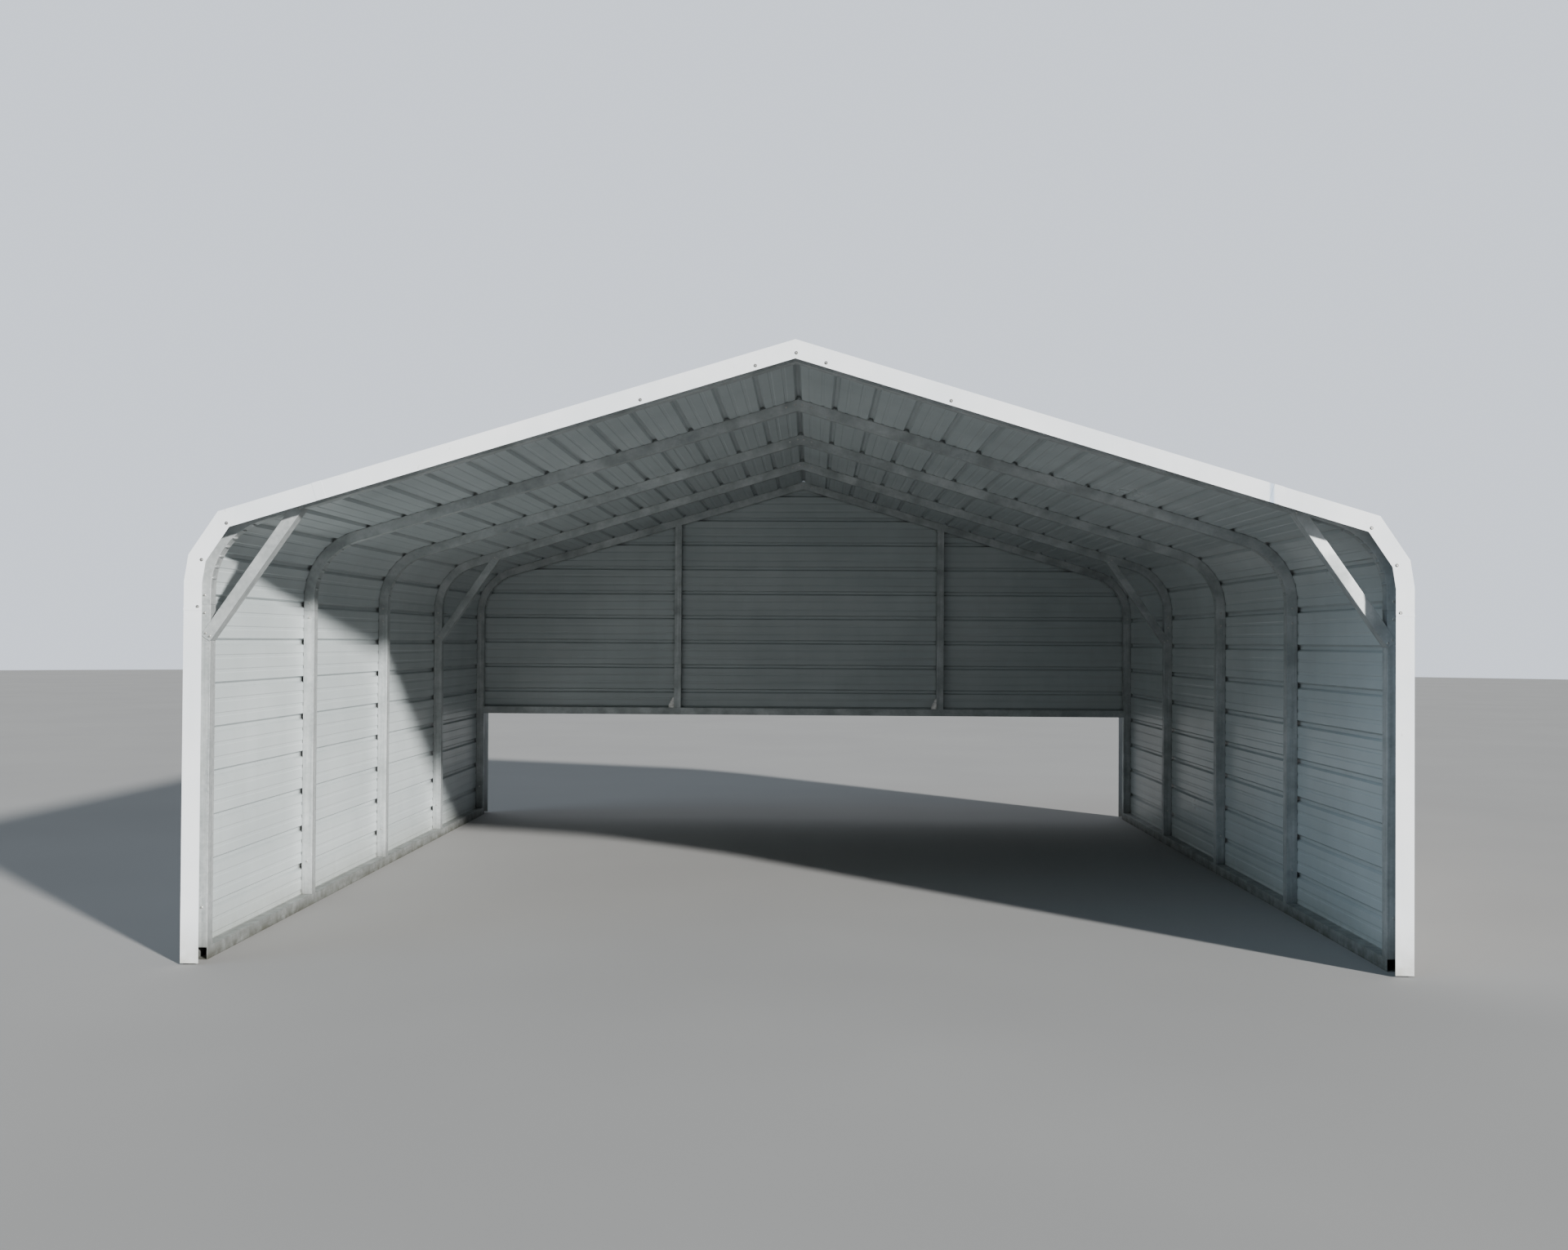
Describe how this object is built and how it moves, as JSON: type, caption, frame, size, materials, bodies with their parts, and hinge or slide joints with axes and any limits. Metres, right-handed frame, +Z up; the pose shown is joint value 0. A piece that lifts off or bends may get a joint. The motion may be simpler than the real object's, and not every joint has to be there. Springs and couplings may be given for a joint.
{
  "type": "carport",
  "caption": "Open-front steel carport with square-tube frames, rounded eaves, ribbed sheet roof and walls, corner braces and a part-height rear gable.",
  "frame": {"origin": "on the ground under the centre of the whole carport", "axes": "+X to the right seen from the open front, +Y from the open front to the rear gable, +Z up"},
  "size_m": [6.0928, 6.4018, 3.1281],
  "materials": {
    "galvanized_tube": "galvanized square tube, dull grey with faint spangle and rub marks",
    "white_sheet": "off-white painted ribbed steel sheet, slightly dusty",
    "white_trim": "white painted folded edge trim"
  },
  "bodies": {
    "root": {"base_rail_left": "galvanized_tube", "base_rail_right": "galvanized_tube", "corner_brace_left_1": "galvanized_tube", "corner_brace_left_4": "galvanized_tube", "corner_brace_right_1": "galvanized_tube", "corner_brace_right_4": "galvanized_tube", "eave_sheet_left": "white_sheet", "eave_sheet_right": "white_sheet", "front_corner_trim_left": "white_trim", "front_corner_trim_right": "white_trim", "front_rake_trim_left": "white_trim", "front_rake_trim_right": "white_trim", "gable_girt": "galvanized_tube", "gable_post_left": "galvanized_tube", "gable_post_right": "galvanized_tube", "gable_sheet_lower": "white_sheet", "gable_sheet_middle": "white_sheet", "gable_sheet_upper": "white_sheet", "leg_left_1": "galvanized_tube", "leg_left_2": "galvanized_tube", "leg_left_3": "galvanized_tube", "leg_left_4": "galvanized_tube", "leg_left_5": "galvanized_tube", "leg_right_1": "galvanized_tube", "leg_right_2": "galvanized_tube", "leg_right_3": "galvanized_tube", "leg_right_4": "galvanized_tube", "leg_right_5": "galvanized_tube", "rear_corner_trim_left": "white_trim", "rear_corner_trim_right": "white_trim", "rear_rake_trim_left": "white_trim", "rear_rake_trim_right": "white_trim", "ridge_cap": "white_sheet", "roof_bow_1": "galvanized_tube", "roof_bow_2": "galvanized_tube", "roof_bow_3": "galvanized_tube", "roof_bow_4": "galvanized_tube", "roof_bow_5": "galvanized_tube", "roof_sheet_lower_left": "white_sheet", "roof_sheet_lower_right": "white_sheet", "roof_sheet_middle_left": "white_sheet", "roof_sheet_middle_right": "white_sheet", "roof_sheet_upper_left": "white_sheet", "roof_sheet_upper_right": "white_sheet", "wall_sheet_lower_left": "white_sheet", "wall_sheet_lower_right": "white_sheet", "wall_sheet_upper_left": "white_sheet", "wall_sheet_upper_right": "white_sheet"}
  },
  "joints": []
}
